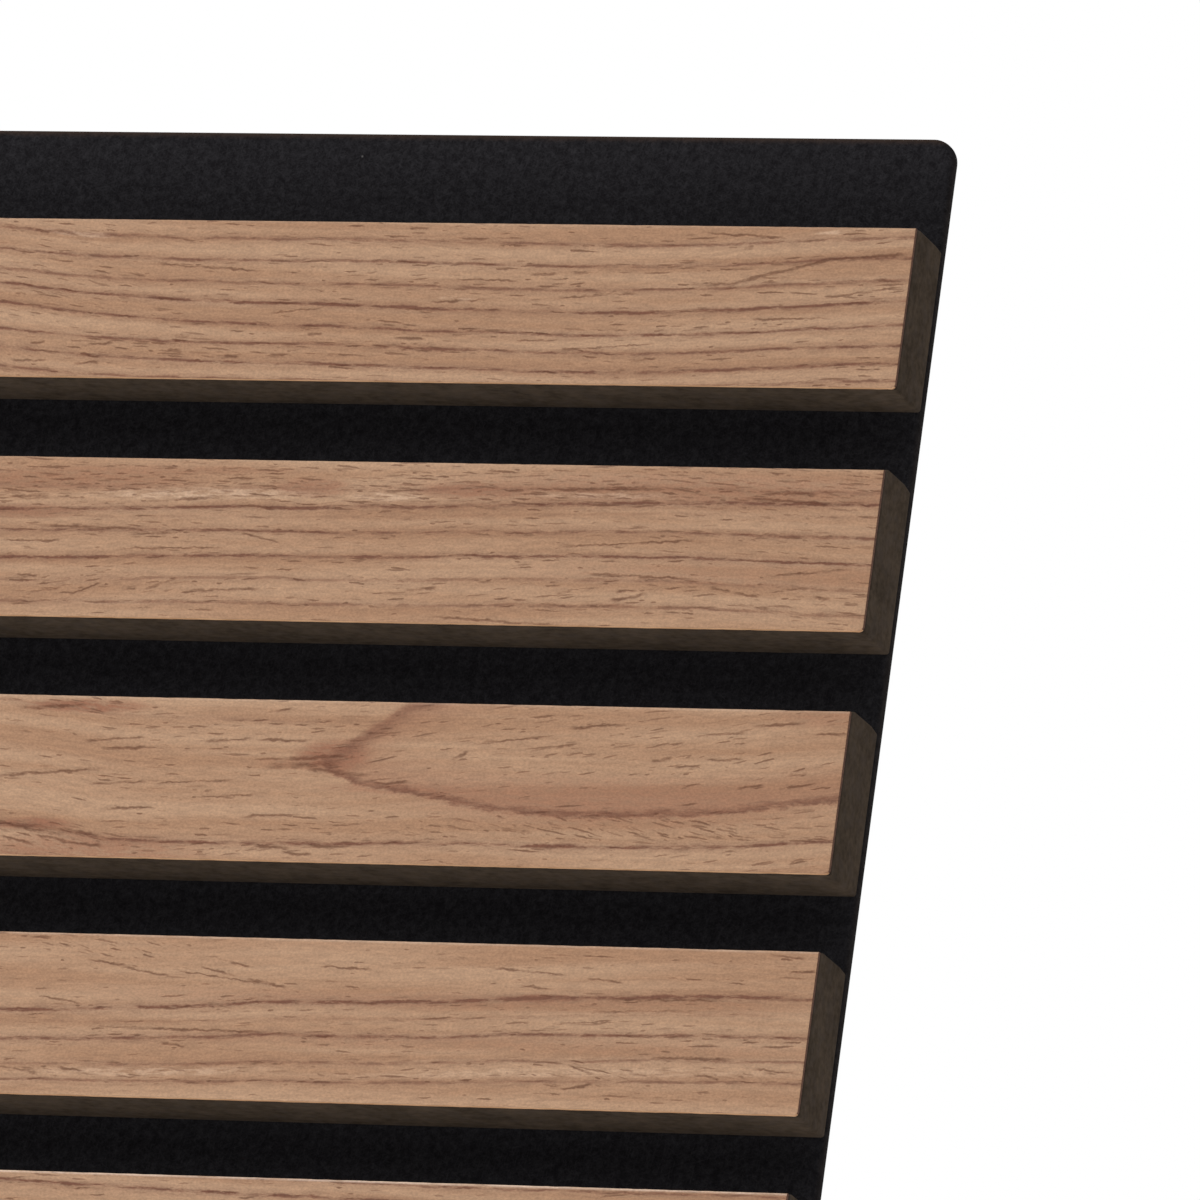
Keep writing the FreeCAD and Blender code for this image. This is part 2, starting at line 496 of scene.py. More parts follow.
def pore_group():
    """Pores cut open along the grain: dark dashes of three sizes, each tilted a little its own way."""
    inputs = [("Along", 0.0), ("Across", 0.0), ("Seed", 0.0), ("Amount", 0.5), ("Slant", 0.0)]
    tree, given, result = new_group("open pores", inputs, ["Dark"])
    sizes = [(3.6, 0.9, 1.5, 0.16, 0.36), (6.5, 1.3, 2.8, 0.18, 0.26), (2.2, 0.9, 0.55, 0.16, 0.12)]
    total = None
    for cell_length, cell_height, length, height, share in sizes:
        rates = (1 / cell_length, 1 / cell_height)
        place = leaf_place(tree, given["Along"], given["Across"], given["Seed"], *rates)
        pairs = [("Vector", place), ("Scale", 1.0)]
        cells = add(tree, "ShaderNodeTexVoronoi", pairs, voronoi_dimensions="2D").outputs
        chance = add(tree, "ShaderNodeSeparateColor", [("Color", cells["Color"])]).outputs
        pairs = [(0, place), (1, cells["Position"])]
        reach = add(tree, "ShaderNodeVectorMath", pairs, operation="SUBTRACT").outputs[0]
        reach = add(tree, "ShaderNodeSeparateXYZ", [(0, reach)]).outputs
        east = calc(tree, "MULTIPLY", reach["X"], cell_length)
        north = calc(tree, "MULTIPLY", reach["Y"], cell_height)
        tilt = calc(tree, "SUBTRACT", chance["Green"], 0.5)
        lean = calc(tree, "MULTIPLY_ADD", tilt, 0.14, given["Slant"])
        north = calc(tree, "SUBTRACT", north, calc(tree, "MULTIPLY", east, lean))
        size = calc(tree, "MULTIPLY_ADD", chance["Blue"], 0.7, 0.45)
        east = calc(tree, "DIVIDE", east, calc(tree, "MULTIPLY", size, length))
        north = calc(tree, "DIVIDE", north, calc(tree, "MULTIPLY_ADD", size, height * 0.5, height * 0.5))
        inside = calc(tree, "MULTIPLY_ADD", east, east, calc(tree, "MULTIPLY", north, north))
        present = calc(tree, "LESS_THAN", chance["Red"], calc(tree, "MULTIPLY", given["Amount"], share))
        dash = calc(tree, "MULTIPLY", fade(tree, inside, 1.1, 0.25), present)
        strength = calc(tree, "MULTIPLY_ADD", calc(tree, "POWER", chance["Blue"], 2.0), 0.62, 0.3)
        dash = calc(tree, "MULTIPLY", dash, strength)
        total = dash if total is None else calc(tree, "MAXIMUM", total, dash)
    tree.links.new(total, result["Dark"])
    return tree


def fibre_group():
    """The wood's fine fibre: hair-thin streaks, a dusting of specks, and slow bands of tone."""
    inputs = [("Along", 0.0), ("Across", 0.0), ("Seed", 0.0)]
    tree, given, result = new_group("wood fibre", inputs, ["Streaks", "Specks", "Bands"])
    place = [given["Along"], given["Across"], given["Seed"]]
    tree.links.new(grain_noise(tree, *place, (0.3, 1.8), 3.0, 0.6), result["Streaks"])
    tree.links.new(grain_noise(tree, *place, (2.0, 3.2), 2.0, 0.6), result["Specks"])
    tree.links.new(grain_noise(tree, *place, (0.012, 0.28), 2.0, 0.6), result["Bands"])
    return tree


grain_wander = wander_group()
growth_line = line_group()
stray_line = stray_group()
soft_stain = blush_group()
open_pores = pore_group()
wood_fibre = fibre_group()


def path_along(tree, along, points, span):
    """A height, at most span, that follows points along the slat: (distance from its right end, height)."""
    share = calc(tree, "DIVIDE", calc(tree, "ADD", along, slat_length), slat_length)
    made = add(tree, "ShaderNodeFloatCurve", [("Value", share)])
    curve = made.mapping.curves[0]
    ordered = sorted(((x + slat_length) / slat_length, value / (2 * span) + 0.5) for x, value in points)
    while len(curve.points) < len(ordered):
        curve.points.new(0.5, 0.5)
    for knot, place in zip(curve.points, ordered):
        knot.location = place
    made.mapping.extend = "HORIZONTAL"
    made.mapping.update()
    centred = calc(tree, "SUBTRACT", made.outputs[0], 0.5)
    return calc(tree, "MULTIPLY", centred, 2 * span)


def spot(tree, along, across, middle, height, reach, rise):
    """A soft oval mask at one place on the leaf."""
    pairs = [("Along", along), ("Across", across), ("Middle", middle), ("Height", height)]
    pairs += [("Reach", reach), ("Rise", rise)]
    return use_group(tree, soft_stain, pairs)["Stain"]


def ground_colour(tree, figure, along, across, strayed, fibre):
    """The wood between its marks: slow bands of a yellower and a pinker brown, stains and pale painted
    highlights.
    """
    colour = blend(tree, fade(tree, fibre["Bands"], 0.3, 0.7), pale_wood, warm_wood)
    for middle, height, reach, rise, strength in figure.get("stains", ()):
        stain = calc(tree, "MULTIPLY", spot(tree, along, across, middle, height, reach, rise), strength)
        stain = calc(tree, "MULTIPLY", stain, fade(tree, fibre["Streaks"], 0.3, 0.6, 0.45, 1.15))
        colour = blend(tree, stain, colour, heart_wood)
    # Pale painted highlights, laid along the grain.
    for middle, height, reach, rise, strength in figure.get("highlights", ()):
        highlight = calc(tree, "MULTIPLY", spot(tree, along, strayed, middle, height, reach, rise), strength)
        highlight = calc(tree, "MULTIPLY", highlight, fade(tree, fibre["Streaks"], 0.35, 0.6))
        colour = blend(tree, highlight, colour, pale_highlight_wood)
    return colour


def draw_lines(tree, figure, along, strayed, swell):
    """How dark the growth lines are, which swell and fade along their length."""
    lines = 0.0
    reached = calc(tree, "MINIMUM", calc(tree, "DIVIDE", along, -line_reach), line_overshoot)
    for near_end, middle, far_end, strength, width in figure["lines"]:
        bend = 2 * (near_end - 2 * middle + far_end)
        slope = far_end - near_end - bend
        pairs = [("Across", strayed), ("Share", reached), ("Level", near_end), ("Slope", slope)]
        pairs += [("Bend", bend), ("Width", width), ("Strength", strength)]
        lines = calc(tree, "MAXIMUM", use_group(tree, growth_line, pairs)["Dark"], lines)
    return calc(tree, "MULTIPLY", lines, fade(tree, swell, 0.34, 0.62, 0.35, 1.2))


def draw_cathedral(tree, figure, along, across, seed, swell, colour, lines):
    """A cathedral over the straight grain: its redder heart, its dark edges and its own slant of pores."""
    cathedral = figure["cathedral"]
    edge_shake = 2.4
    tip_rounding = 1.5
    heart_depth = 8.5
    heart_strength = 0.5
    shake = grain_noise(tree, along, across, seed + 5, (0.25, 0.8), 4.0, 0.7)
    edge = calc(tree, "MULTIPLY_ADD", calc(tree, "SUBTRACT", shake, 0.5), edge_shake, across)
    low = calc(tree, "SUBTRACT", edge, path_along(tree, along, cathedral["low"], cathedral_span))
    up = calc(tree, "SUBTRACT", path_along(tree, along, cathedral["up"], cathedral_span), edge)
    inside = calc(tree, "SMOOTH_MIN", low, up, tip_rounding)
    heart = calc(tree, "MULTIPLY", fade(tree, inside, heart_depth, 0.2), fade(tree, inside, -1.0, 0.2))
    colour = blend(tree, calc(tree, "MULTIPLY", heart, heart_strength), colour, heart_wood)

    under = calc(tree, "MULTIPLY", fade(tree, low, -0.6, 0.1), fade(tree, low, 1.3, 0.1))
    under = calc(tree, "MULTIPLY", under, fade(tree, up, -0.5, 1.0))
    over = calc(tree, "MULTIPLY", fade(tree, up, -1.4, 0.6), fade(tree, up, 3.6, 0.6))
    over = calc(tree, "MULTIPLY", over, fade(tree, low, -1.0, 1.0, 0.0, cathedral["upper_strength"]))
    lines = calc(tree, "MULTIPLY", lines, fade(tree, inside, 0.3, -0.5))
    broken = fade(tree, swell, 0.3, 0.6, 0.55, 1.0)
    edge = calc(tree, "MULTIPLY", calc(tree, "MAXIMUM", under, over), broken)
    lines = calc(tree, "MAXIMUM", lines, calc(tree, "MULTIPLY", edge, cathedral["strength"]))
    slant = fade(tree, inside, -0.5, 0.5, figure["slant"], cathedral["slant"])
    return colour, lines, slant


def cut_pores(tree, figure, along, across, strayed, seed, lines, slant):
    """How dark the open pores are. They crowd beside the growth lines, in coarse bands and in zones."""
    crowding_by_lines = 1.7
    crowd = grain_noise(tree, along, strayed, seed + 8, (0.05, 0.4), 3.0, 0.7)
    amount = calc(tree, "MULTIPLY", fade(tree, crowd, 0.36, 0.64, 0.15, 1.9), figure["pores"])
    amount = calc(tree, "MULTIPLY_ADD", lines, crowding_by_lines, amount)
    for middle, height, reach, rise, lean, crowding in figure.get("zones", ()):
        mask = spot(tree, along, across, middle, height, reach, rise)
        amount = calc(tree, "MULTIPLY_ADD", mask, crowding, amount)
        slant = calc(tree, "MULTIPLY_ADD", mask, lean, slant)
    for level, height, strength in figure["coarse"]:
        gap = calc(tree, "ABSOLUTE", calc(tree, "SUBTRACT", strayed, level))
        amount = calc(tree, "ADD", amount, fade(tree, gap, height, height * 0.4, 0.0, strength))
    pairs = [("Along", along), ("Across", strayed), ("Seed", seed), ("Amount", amount), ("Slant", slant)]
    return use_group(tree, open_pores, pairs)["Dark"]


def draw_strokes(tree, figure, along, across, seed, swell):
    """How dark the leaf's long pores and checks are, single strokes on a slightly uneven path."""
    unevenness = 0.8
    rough_cut = grain_noise(tree, along, across, seed + 11, (0.5, 0.9), 2.0, 0.6)
    uneven = calc(tree, "MULTIPLY_ADD", calc(tree, "SUBTRACT", rough_cut, 0.5), unevenness, across)
    strokes = 0.0
    for start, end, height, rise, width in figure.get("strays", ()):
        pairs = [("Along", along), ("Across", uneven), ("Start", start), ("End", end)]
        pairs += [("Height", height), ("Rise", rise), ("Width", width)]
        strokes = calc(tree, "MAXIMUM", use_group(tree, stray_line, pairs)["Dark"], strokes)
    return calc(tree, "MULTIPLY", strokes, fade(tree, swell, 0.32, 0.58, 0.3, 0.95))


def veneer_finish(number, centre, figure):
    """One leaf's finish, from its own figure."""
    material, tree, shader, place = new_material(f"veneer leaf {number}")
    parts = add(tree, "ShaderNodeSeparateXYZ", [(0, place)]).outputs
    seed = number * seed_step
    along = calc(tree, "SUBTRACT", parts["X"], face_end)
    across = calc(tree, "SUBTRACT", parts["Z"], centre * 1000)

    # The figure follows a slow sweep along the slat, and the grain strays a little from it.
    swept = calc(tree, "SUBTRACT", across, path_along(tree, along, figure["sweep"], sweep_span))
    pairs = [("Along", along), ("Across", swept), ("Seed", seed), ("Waviness", figure["waviness"])]
    strayed = use_group(tree, grain_wander, pairs)["Across"]
    shaken = calc(tree, "ADD", across, calc(tree, "SUBTRACT", strayed, swept))
    fibre = use_group(tree, wood_fibre, [("Along", along), ("Across", strayed), ("Seed", seed)])
    swell = grain_noise(tree, along, strayed, seed + 3, (0.14, 0.9), 4.0, 0.75)

    colour = ground_colour(tree, figure, along, shaken, strayed, fibre)
    lines = draw_lines(tree, figure, along, strayed, swell)
    slant = figure["slant"]
    if "cathedral" in figure:
        colour, lines, slant = draw_cathedral(tree, figure, along, across, seed, swell, colour, lines)
    colour = blend(tree, lines, colour, line_wood)
    pores = cut_pores(tree, figure, along, across, strayed, seed, lines, slant)
    dark = calc(tree, "MAXIMUM", pores, draw_strokes(tree, figure, along, across, seed, swell))
    colour = blend(tree, calc(tree, "MULTIPLY", dark, pore_strength), colour, pore_wood)

    # The upper edge of the face gets a pale painted highlight, patchy along its length.
    edge_highlight = edge_highlights.get(number, usual_edge_highlight)
    highlighted_edge = fade(tree, across, edge_highlight_start, edge_highlight_full, 0.0, edge_highlight)
    highlighted_edge = calc(tree, "MULTIPLY", highlighted_edge, fade(tree, swell, 0.3, 0.6, 0.4, 1.2))
    colour = blend(tree, highlighted_edge, colour, edge_highlight_wood)

    # The fine fibre lightens and darkens everything a little.
    streaks = fade(tree, fibre["Streaks"], 0.2, 0.8, 0.89, 1.11)
    gain = calc(tree, "MULTIPLY", streaks, fade(tree, fibre["Specks"], 0.2, 0.8, 0.88, 1.12))
    lit = add(tree, "ShaderNodeVectorMath", [(0, colour), ("Scale", gain)], operation="SCALE").outputs[0]
    tree.links.new(lit, shader.inputs["Base Color"])

    rough = calc(tree, "MULTIPLY_ADD", dark, 0.2, fade(tree, fibre["Streaks"], 0.2, 0.8, 0.6, 0.7))
    tree.links.new(rough, shader.inputs["Roughness"])
    shader.inputs["Specular IOR Level"].default_value = 0.2
    return material


def cut_edge_finish():
    """The leaf's long sliced edge: bare wood, lighter and more orange than the face."""
    material, tree, shader, place = new_material("veneer cut edge")
    edge_light = paint(238, 190, 148)
    edge_dark = paint(200, 150, 110)
    streaks = noise_at(tree, place, 1.0, 3.0, 0.6, (0.25, 3.0, 1.5))
    colour = blend(tree, fade(tree, streaks, 0.3, 0.7), edge_light, edge_dark)
    tree.links.new(colour, shader.inputs["Base Color"])
    dull(shader, 0.8, 0.2)
    return material


def end_grain_finish():
    """The leaf's crosscut end: the open ends of the fibres, darker than the face."""
    material, tree, shader, place = new_material("veneer end grain")
    end_light = paint(128, 94, 78)
    end_dark = paint(98, 70, 60)
    specks = noise_at(tree, place, 2.4, 3.0, 0.6)
    colour = blend(tree, fade(tree, specks, 0.3, 0.7), end_light, end_dark)
    tree.links.new(colour, shader.inputs["Base Color"])
    dull(shader, 0.85, 0.2)
    return material


# A figure's growth lines are (height at the right end, at 75 mm and at 150 mm, darkness, width). Heights
# count from the leaf's middle line. Distances along the slat count from its right end and are negative.
# The sweep is (distance, rise of the whole figure), a coarse band of pores (height, half width, crowding)
# and a zone of pores (middle, height, reach, rise, lean, crowding). Stains and painted highlights are
# (middle, height, reach, rise, strength), and strays (start, end, height at the start, rise to the end,
# width).
figures = {
    1: {
        "lines": [
            (11.8, 12.0, 11.1, 0.7, 0.5), (8.4, 8.4, 7.5, 0.75, 0.5), (4.7, 4.4, 4.0, 0.7, 0.5),
            (1.2, 0.7, 1.5, 1.0, 0.5), (-2.9, -3.0, -1.8, 0.9, 0.45), (-6.4, -6.0, -6.0, 0.85, 0.45),
            (-9.4, -9.3, -9.1, 0.9, 0.5), (-12.3, -12.0, -12.4, 0.75, 0.45),
        ],
        "sweep": [
            (0, 0), (-10, -0.4), (-20, -1.0), (-35, -1.7), (-50, -2.1), (-70, -1.9), (-90, -1.5),
            (-120, -1.2), (-135, -0.8), (-150, 0.2), (-160, 1.0), (-230, 2.5), (-340, -0.5),
            (-460, -2.0), (-600, 0.5),
        ],
        "waviness": 0.35,
        "slant": -0.02,
        "pores": 0.45,
        "coarse": [],
        "zones": [
            (-75, 4.5, 40, 3.5, 0.1, 0.9), (-32, -3.5, 32, 4.0, 0.06, 0.9),
            (-142, 1.5, 20, 5.0, -0.08, 0.9), (-108, -8.4, 45, 2.5, 0.0, 2.0),
            (-20, 9.0, 22, 4.0, 0.03, 0.3),
        ],
        "highlights": [(-144, 11.2, 8, 0.7, 0.7), (-77, 2.4, 4, 0.5, 0.6), (-14, 13.2, 4, 0.5, 0.6)],
        "strays": [
            (-38, -27, 3.3, 0.7, 0.5), (-31, -21, 3.4, 2.9, 0.6), (-25, -12, 5.0, 3.6, 0.55),
            (-16, 0, 7.9, 1.3, 0.5), (-131, -110, 6.0, -1.2, 0.35), (-78, -66, 4.0, -0.3, 0.3),
            (-153, -146, -10.9, 0.2, 0.4), (-142, -137, -11.3, 0.4, 0.4),
            (-140, -135, -8.0, 0.4, 0.35), (-61, -45, 0.8, 1.3, 0.35), (-27, -12, -2.3, 0.5, 0.35),
            (-66, -58, -6.4, 0.3, 0.35), (-55, -41, -7.6, 1.1, 0.25), (-46, -41, -9.6, 0.6, 0.4),
            (-65, -60, 4.9, 0, 0.45), (-82, -71, -0.1, 0.7, 0.35), (-109, -99, -2.3, 1.2, 0.3),
            (-15, 0, 1.4, 2.2, 0.4), (-37, -21, 12.3, -0.8, 0.35), (-152, -149, 11.6, -0.6, 0.5),
            (-150, -147, -7.9, 0.3, 0.5), (-141, -137, -9.4, -0.7, 0.5),
            (-126, -123, -8.7, -0.3, 0.6), (-125, -122, -6.4, 0, 0.5), (-129, -125, 0.2, -0.3, 0.4),
            (-116, -113, -9.6, 0, 0.55), (-108, -105, -9.4, 0, 0.55), (-102, -99, -5.7, 0, 0.55),
            (-98, -95, -9.2, 0, 0.5), (-87, -81, -6.1, -0.2, 0.4), (-58, -54, -7.8, 0.2, 0.6),
            (-49, -46, -11.4, 0.3, 0.5), (-29, -27, 9.8, 0.1, 0.6), (-87, -83, 12.6, -0.2, 0.5),
        ],
    },
    2: {
        "lines": [
            (9.3, 8.7, 9.4, 0.4, 0.6), (7.5, 5.8, 5.5, 1.0, 0.55), (5.5, 4.2, 4.0, 0.2, 0.5),
            (1.9, 1.4, 1.8, 0.8, 0.5), (-2.5, -2.7, -2.9, 1.0, 0.45), (-6.8, -6.6, -6.6, 0.5, 0.5),
            (-11.1, -10.9, -10.0, 0.6, 0.5),
        ],
        "sweep": [
            (0, 0), (-10, 0.3), (-20, 0.6), (-35, 0.9), (-55, 0.8), (-70, 0.5), (-85, 0.1), (-110, 0),
            (-130, -0.5), (-150, -0.9), (-300, 1.5), (-450, -1.0), (-600, 0.5),
        ],
        "waviness": 0.4,
        "slant": -0.02,
        "pores": 0.5,
        "coarse": [(9.5, 4.5, 2.4)],
        "zones": [
            (-138, -6.5, 16, 3.5, 0.12, 0.9), (-115, -8.0, 22, 2.5, 0.1, 0.6),
            (-45, -8.0, 55, 2.6, 0.12, 0.5), (-125, 1.0, 22, 2.0, -0.02, 0.8),
            (-85, 7.2, 8, 1.4, 0.0, 1.6), (-133, 10.5, 30, 3.2, 0.0, 0.9),
        ],
        "stains": [
            (-30, 9.6, 62, 3.6, 0.45), (-20, -4.5, 50, 2.6, 0.25), (-97, 9.0, 8, 2.0, 0.6),
            (-140, 9.8, 30, 2.4, 0.45), (-146, 4.2, 12, 1.6, 0.5), (-70, 8.8, 12, 1.6, 0.6),
            (-120, 11.6, 26, 1.0, 0.35),
        ],
        "highlights": [(-116, 7.8, 24, 1.2, 0.7), (-84, 7.4, 8, 1.0, 0.7), (-48, 7.6, 14, 0.7, 0.5)],
        "strays": [
            (-150, -142, 6.7, 0, 0.55), (-149, -142, -7.5, 0.9, 0.4), (-144, -138, -9.5, 0.8, 0.35),
            (-137, -131, -9.9, 2.3, 0.4), (-124, -118, -8.8, 2.2, 0.4), (-117, -103, -8.8, 0.5, 0.5),
            (-128, -119, 0.6, 0.4, 0.5), (-144, -126, 1.8, -0.3, 0.5), (-130, -110, -1.9, 0.5, 0.35),
            (-150, -139, -0.8, 0.1, 0.4), (-109, -101, 1.2, -1.6, 0.3), (-55, -28, -0.5, 1.8, 0.3),
            (-79, -73, -8.1, 0.5, 0.5), (-53, -50, -8.3, 0.8, 0.5), (-75, -51, -12.3, -1.3, 0.4),
            (-50, -28, -4.7, -0.7, 0.4), (-58, -36, 9.2, 0.5, 0.5), (-24, -5, 8.4, -1.0, 0.5),
            (-21, -10, 9.5, -0.3, 0.45), (-18, -3, -4.7, 1.5, 0.35), (-123, -112, 6.5, 0.6, 0.5),
            (-44, -37, -9.3, 1.4, 0.5), (-43, -39, -7.6, 0.2, 0.4), (-27, -23, -6.7, -0.7, 0.5),
            (-23, -18, -7.4, -0.7, 0.5), (-22, -16, -9.5, -0.5, 0.5), (-9, -6, -8.0, -0.3, 0.5),
            (-4, -1, -9.0, -0.2, 0.5), (-15, -10, -6.7, 0.1, 0.4),
        ],
    },
    3: {
        "lines": [
            (-8.1, -8.2, -8.4, 0.9, 0.55), (-12.9, -12.9, -12.9, 0.3, 0.5),
            (12.4, 12.4, 12.4, 0.3, 0.5),
        ],
        "sweep": [
            (0, 0), (-10, -0.8), (-20, -1.4), (-40, -1.8), (-70, -1.8), (-85, -2.3), (-120, -2.2),
            (-130, -1.3), (-140, -0.1), (-150, 0.4), (-300, 3.0), (-450, 1.0), (-600, 3.0),
        ],
        "waviness": 0.35,
        "slant": 0.02,
        "pores": 0.5,
        "coarse": [],
        "zones": [
            (-35, -6.8, 44, 2.8, -0.3, 2.8), (-88, -7.6, 26, 3.0, -0.06, 0.8),
            (-30, 6.0, 55, 9.0, 0.0, 0.3), (-134, -9.6, 16, 2.4, -0.12, 1.6),
            (-20, -11.5, 30, 2.6, 0.1, 0.8), (-100, -12.0, 20, 2.0, 0.12, 1.0),
            (-118, 4.0, 26, 8.0, 0.03, 0.3),
        ],
        "stains": [
            (-93, 2.8, 9, 1.3, 0.35), (-87, 4.2, 8, 3.4, 1.0), (-76, -1.0, 16, 1.2, 0.5),
            (-131, 11.8, 14, 1.4, 0.9), (-128, -12.6, 26, 3.6, 0.6), (-137, -8.2, 9, 1.4, 0.9),
            (-38, -2.6, 44, 5.6, 0.4), (-2, 13.0, 14, 3.0, 0.4),
        ],
        "strays": [
            (-146, -125, -0.4, 1.8, 0.5), (-129, -118, -1.4, 0.8, 0.4), (-118, -103, -1.0, 0.9, 0.3),
            (-131, -119, 5.8, 1.0, 0.4), (-128, -118, 4.6, 0.5, 0.5), (-110, -101, 6.2, 0.7, 0.4),
            (-101, -91, 6.7, 0, 0.4), (-126, -116, -5.5, 0.5, 0.4), (-110, -99, -3.2, 0.7, 0.35),
            (-102, -90, -6.2, 0.6, 0.4), (-100, -95, 11.3, 0.7, 0.45), (-67, -64, 4.0, 1.4, 0.6),
            (-64, -49, 6.6, 1.9, 0.35), (-48, -37, 9.6, 1.1, 0.4), (-54, -45, 5.8, 1.4, 0.4),
            (-33, -29, 4.5, 0.6, 0.5), (-29, -24, 3.6, 0.4, 0.4), (-25, -17, 8.8, 0.9, 0.4),
            (-24, -17, 4.9, 0.3, 0.35), (-17, -7, 10.5, 1.0, 0.45), (-6, 0, 9.5, 0.2, 0.45),
            (-18, -13, 0.2, 0.8, 0.45), (-10, -6, 2.5, 0.6, 0.45), (-80, -73, -0.4, 0.7, 0.45),
            (-57, -51, -7.3, -0.5, 0.5), (-140, -124, -8.2, -1.8, 0.5), (-143, -130, 11.2, 0.7, 0.6),
            (-99, -85, 2.2, 0.9, 0.8), (-96, -84, 3.5, 0.9, 0.6), (-92, -80, 2.0, -0.9, 0.6),
            (-144, -136, -7.7, -1.8, 0.6), (-141, -131, -8.6, -1.4, 0.5),
            (-137, -129, -9.9, -1.4, 0.45), (-143, -136, -10.2, -1.5, 0.45),
            (-133, -124, -10.9, -0.9, 0.5), (-99, -92, -11.0, -0.4, 0.5),
            (-94, -88, -12.0, -0.4, 0.5), (-90, -84, -10.8, -0.3, 0.5),
        ],
        "cathedral": {
            "low": [
                (0, -1.2), (-10, -2.4), (-20, -3.8), (-30, -4.4), (-42, -4.8), (-54, -4.4),
                (-62, -3.5), (-70, -2.0), (-80, -0.6), (-86, 1.2), (-89, 3.2), (-100, 14.0),
                (-600, 29.0),
            ],
            "up": [
                (0, 26.0), (-50, 22.0), (-68, 16.0), (-76, 12.6), (-80, 9.6), (-84, 6.8), (-89, 3.2),
                (-96, -6.0), (-600, -29.0),
            ],
            "upper_strength": 0.75,
            "strength": 0.85,
            "slant": 0.14,
        },
    },
    4: {
        "lines": [
            (5.6, 5.0, 3.6, 1.0, 0.6), (-1.0, -0.7, -0.9, 0.85, 0.5), (-4.9, -5.1, -4.9, 0.6, 0.45),
            (-8.4, -8.3, -7.3, 0.65, 0.45), (2.7, 2.2, 2.0, 0.25, 0.4),
        ],
        "sweep": [
            (0, 0), (-20, -0.1), (-40, -0.6), (-50, -0.8), (-62, -1.4), (-78, -1.8), (-91, -2.0),
            (-104, -2.7), (-140, -3.5), (-160, -3.9), (-230, -2.0), (-360, 0.5), (-480, -1.5),
            (-600, -3.0),
        ],
        "waviness": 0.35,
        "slant": -0.01,
        "pores": 0.4,
        "coarse": [(-7.0, 1.6, 0.5)],
        "zones": [
            (-112, 10.5, 30, 3.5, -0.2, 0.3), (-38, -8.0, 14, 3.0, -0.22, 0.6),
            (-20, -7.0, 26, 3.0, -0.05, 0.6), (-60, 0.5, 60, 2.0, 0.03, 0.6),
            (-115, -9.2, 28, 1.2, -0.15, 1.2), (-125, 11.5, 20, 2.0, -0.1, 0.8),
        ],
        "stains": [(-60, 3.8, 80, 2.0, 0.3), (-50, -3.2, 90, 1.6, 0.2), (-46, 4.6, 8, 0.8, 0.8)],
        "highlights": [(-40, -7.0, 50, 1.0, 0.35), (-112, -6.3, 26, 1.0, 0.5)],
        "strays": [
            (-125, -117, 9.2, -1.0, 0.4), (-119, -109, 8.3, -1.8, 0.35), (-105, -98, 8.5, -1.5, 0.4),
            (-100, -96, 9.3, -0.8, 0.4), (-97, -89, 6.6, -1.4, 0.4), (-110, -93, 7.9, -2.2, 0.25),
            (-132, -124, 2.9, -1.2, 0.35), (-103, -98, 2.5, -0.9, 0.35), (-124, -90, -2.0, -0.2, 0.4),
            (-110, -105, -4.4, -0.5, 0.45), (-135, -130, -9.2, -0.8, 0.45),
            (-127, -122, -8.9, -0.6, 0.4), (-85, -75, 9.0, -0.3, 0.35), (-56, -41, 9.5, -1.0, 0.35),
            (-39, -32, 8.1, -0.5, 0.3), (-50, -44, 6.7, -0.7, 0.3), (-36, -13, 4.6, 0.6, 0.4),
            (-38, -18, 2.5, 0.8, 0.35), (-44, -32, 0.5, 0.5, 0.3), (-27, -12, -4.7, 0.1, 0.5),
            (-40, -35, -6.2, -1.6, 0.4), (-41, -35, -10.4, 1.2, 0.4), (-30, -26, -6.8, -1.2, 0.4),
            (-17, -14, -7.3, -0.7, 0.4), (-9, -2, 12.9, -0.7, 0.45), (-9, 0, -6.0, -0.8, 0.4),
            (-5, 0, 10.0, 0.2, 0.4),
        ],
    },
}

# The other leaves' figures are drawn by chance, in millimetres. A cathedral's outline is (distance from
# its tip, half width). Both are negative ahead of the tip, where there is no cathedral.
face_half = 13
most_lines = 8
line_gaps = (2.4, 5.0)
sweep_steps = 8
sweep_turn = 2.2
most_sweep = 4
cathedral_odds = 0.4
cathedral_tips = (-480, -120)
cathedral_outline = [(-60, -26), (-6, -4), (0, 0), (4, 3.2), (14, 5.6), (40, 8), (110, 11), (260, 14)]
first_seed = 100


def chance_figure(chance):
    """A figure drawn by chance: straight-grained, now and then with a cathedral."""
    lines = []
    level = chance.uniform(-face_half, 3 - face_half)
    while level < face_half and len(lines) < most_lines:
        heights = [round(level + chance.uniform(-0.6, 0.6), 1) for place in range(3)]
        lines.append((*heights, round(chance.uniform(0.4, 1.0), 2), round(chance.uniform(0.35, 0.5), 2)))
        level += chance.uniform(*line_gaps)
    drift = 0.0
    sweep = []
    for step in range(sweep_steps + 1):
        sweep.append((-slat_length * step / sweep_steps, round(drift, 1)))
        drift += chance.uniform(-sweep_turn, sweep_turn)
        drift = max(-most_sweep, min(most_sweep, drift))
    figure = {
        "lines": lines,
        "sweep": sweep,
        "waviness": round(chance.uniform(0.4, 0.6), 2),
        "pores": round(chance.uniform(0.35, 0.6), 2),
        "coarse": [(round(chance.uniform(-10, 10), 1), round(chance.uniform(2, 5), 1), 0.5)],
        "slant": round(chance.uniform(-0.05, 0.05), 2),
    }
    if chance.random() < cathedral_odds:
        tip = chance.uniform(*cathedral_tips)
        middle = chance.uniform(-4, 4)
        reach = chance.choice([-1, 1])
        low = []
        up = []
        for along, half in cathedral_outline:
            x = tip + reach * along
            if -slat_length < x < 0:
                low.append((x, middle - half))
                up.append((x, middle + half * chance.uniform(0.9, 1.3)))
        figure["cathedral"] = {"low": low, "up": up, "upper_strength": 0.8, "strength": 0.7, "slant": 0.03}
    return figure


